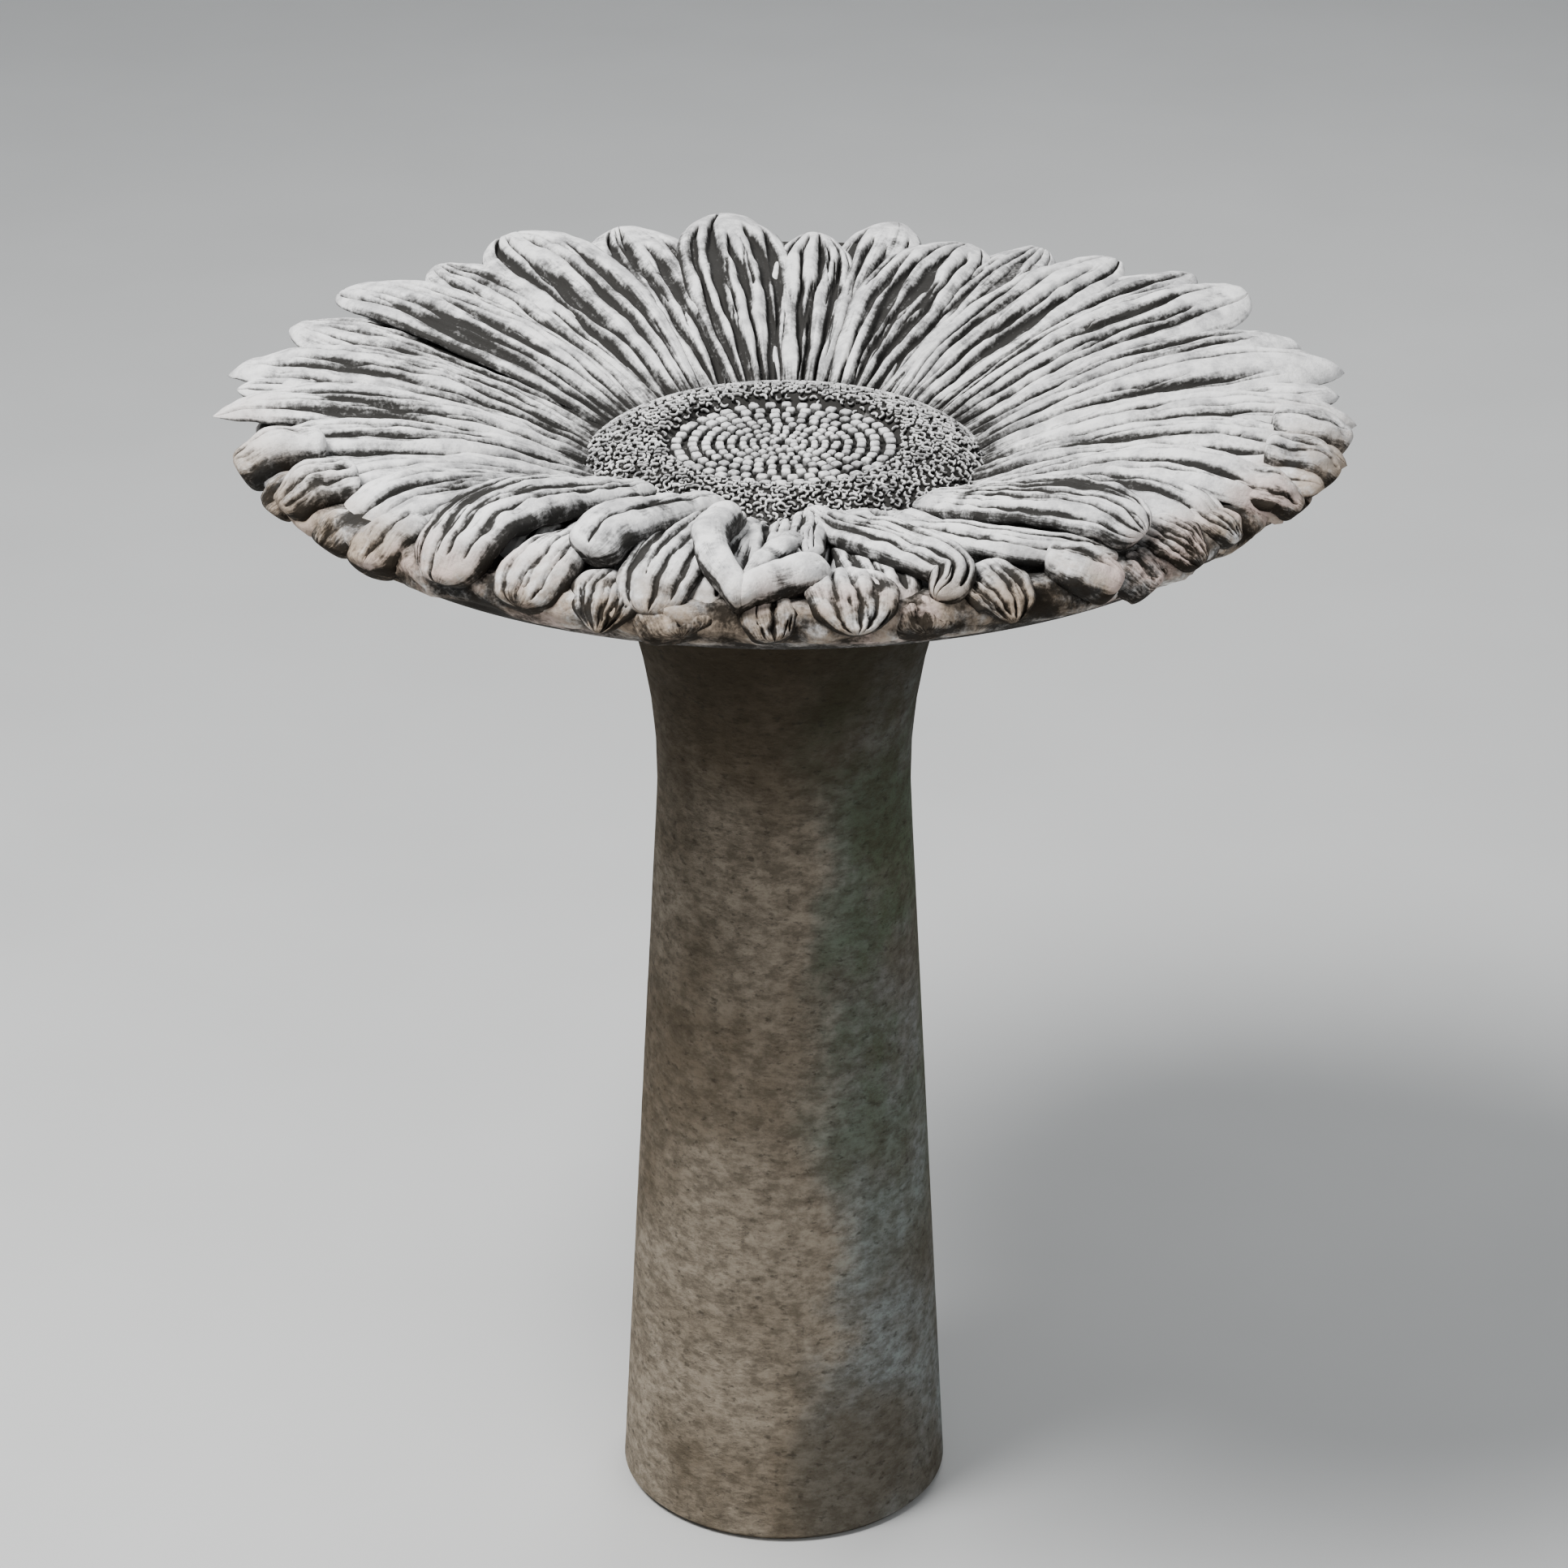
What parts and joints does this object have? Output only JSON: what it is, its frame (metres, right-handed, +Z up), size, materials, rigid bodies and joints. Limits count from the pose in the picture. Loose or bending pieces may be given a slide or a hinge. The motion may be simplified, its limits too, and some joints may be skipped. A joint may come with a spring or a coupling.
{
  "type": "bird bath",
  "caption": "Cast-stone bird bath: a shallow daisy-head bowl of layered petals on a plain round tapering pedestal with a flared top.",
  "frame": {"origin": "centre of the pedestal's foot, on the ground plane", "axes": "+Z up along the pedestal's axis; the flower's front, where the petals curl in, faces -Y"},
  "size_m": [0.6081, 0.5895, 0.6669],
  "materials": {
    "pedestal_stone": "weathered cast stone, brown-grey with moss stains",
    "bowl_stone": "cast stone, pale wash over dark recesses",
    "pad_rubber": "matte black rubber"
  },
  "bodies": {
    "pedestal": {"pedestal": "pedestal_stone"},
    "pads": {"seat_pad_1": "pad_rubber", "seat_pad_2": "pad_rubber", "seat_pad_3": "pad_rubber"},
    "bowl": {"bowl": "bowl_stone"}
  },
  "joints": [
    {"name": "bowl_turn", "type": "hinge", "parent": "pedestal", "child": "pads", "pos_m": [0, 0, 0.575], "axis": [0, 0, 1], "continuous": true},
    {"name": "bowl_lift", "type": "slide", "parent": "pads", "child": "bowl", "axis": [0, 0, 1], "range_m": [0, 0.08]}
  ]
}
